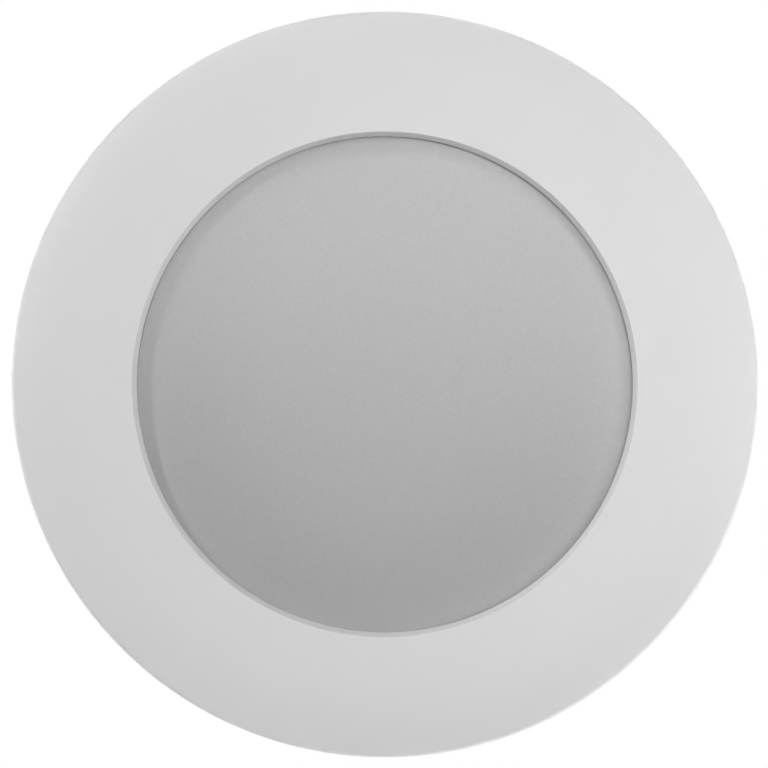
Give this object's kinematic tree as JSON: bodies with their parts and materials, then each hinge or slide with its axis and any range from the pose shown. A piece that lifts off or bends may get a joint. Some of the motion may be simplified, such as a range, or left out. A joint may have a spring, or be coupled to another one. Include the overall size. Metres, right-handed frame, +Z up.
{
  "type": "soffit downlight",
  "caption": "Round outdoor downlight for a soffit: plain white trim ring, set-back frosted lens, finned driver housing, cable gland and sprung clip arms that grip the soffit.",
  "frame": {"origin": "on the light's axis, at the soffit's underside, which is the top of the soffit gasket", "axes": "+Z up as fitted, out of the light's back towards its cable gland, so the lens shines towards -Z; +X from the axis to the right clip arm"},
  "size_m": [0.09, 0.09, 0.0726],
  "materials": {
    "white_powder_coat": "fine satin powder coat",
    "black_foam": "closed-cell foam",
    "frosted_glass": "sandblasted, satin",
    "grey_silicone": "matt moulded",
    "white_reflector": "matt moulded",
    "white_solder_mask": "solder mask on aluminium board",
    "led_phosphor": "phosphor under silicone",
    "zinc_steel": "bright zinc plate",
    "blue_thermal_pad": "soft filled silicone",
    "cast_aluminium": "bead-blasted die casting",
    "black_rubber": "matt moulded",
    "red_insulation": "smooth insulation",
    "black_insulation": "smooth insulation",
    "green_board": "solder mask on glass-epoxy board",
    "ferrite": "ferrite core with taped winding",
    "capacitor_sleeve": "shrink sleeve",
    "black_epoxy": "moulded epoxy",
    "green_terminal": "moulded",
    "black_nylon": "moulded glass-filled nylon",
    "spring_wire": "drawn stainless wire",
    "clear_silicone": "translucent moulded"
  },
  "bodies": {
    "root": {"trim_ring": "white_powder_coat", "soffit_gasket": "black_foam", "lens": "frosted_glass", "lens_gasket": "grey_silicone", "mixing_reflector": "white_reflector", "led_board": "white_solder_mask", "led_chips": "led_phosphor", "led_board_screws": "zinc_steel", "thermal_pad": "blue_thermal_pad", "heat_sink": "cast_aluminium", "body_gasket": "black_rubber", "body_screws": "zinc_steel", "wire_grommet": "black_rubber", "led_wire_red": "red_insulation", "led_wire_black": "black_insulation", "driver_board": "green_board", "driver_transformer": "ferrite", "driver_capacitors": "capacitor_sleeve", "driver_chips": "black_epoxy", "terminal_block": "green_terminal", "driver_screws": "zinc_steel", "rear_cover": "cast_aluminium", "rear_cover_gasket": "black_rubber", "rear_cover_screws": "zinc_steel", "gland_body": "black_nylon", "gland_washer": "black_rubber", "gland_seal": "black_rubber", "gland_nut": "black_nylon", "right_clip_bracket": "zinc_steel", "right_bracket_screws": "zinc_steel", "right_clip_pin": "zinc_steel", "left_clip_bracket": "zinc_steel", "left_bracket_screws": "zinc_steel", "left_clip_pin": "zinc_steel"},
    "right_clip": {"right_clip_arm": "zinc_steel", "right_arm_sleeve": "clear_silicone", "right_clip_spring": "spring_wire"},
    "left_clip": {"left_clip_arm": "zinc_steel", "left_arm_sleeve": "clear_silicone", "left_clip_spring": "spring_wire"}
  },
  "joints": [
    {"name": "right_clip_hinge", "type": "hinge", "parent": "root", "child": "right_clip", "pos_m": [0.0296, 0, 0.0245], "axis": [0, -1, 0], "range_deg": [0, 146], "stiffness_Nm_per_rad": 0.03, "springref_deg": -143.24, "deforming": ["right_clip_spring"]},
    {"name": "left_clip_hinge", "type": "hinge", "parent": "root", "child": "left_clip", "pos_m": [-0.0296, 0, 0.0245], "axis": [0, 1, 0], "range_deg": [0, 146], "stiffness_Nm_per_rad": 0.03, "springref_deg": -143.24, "deforming": ["left_clip_spring"]}
  ]
}
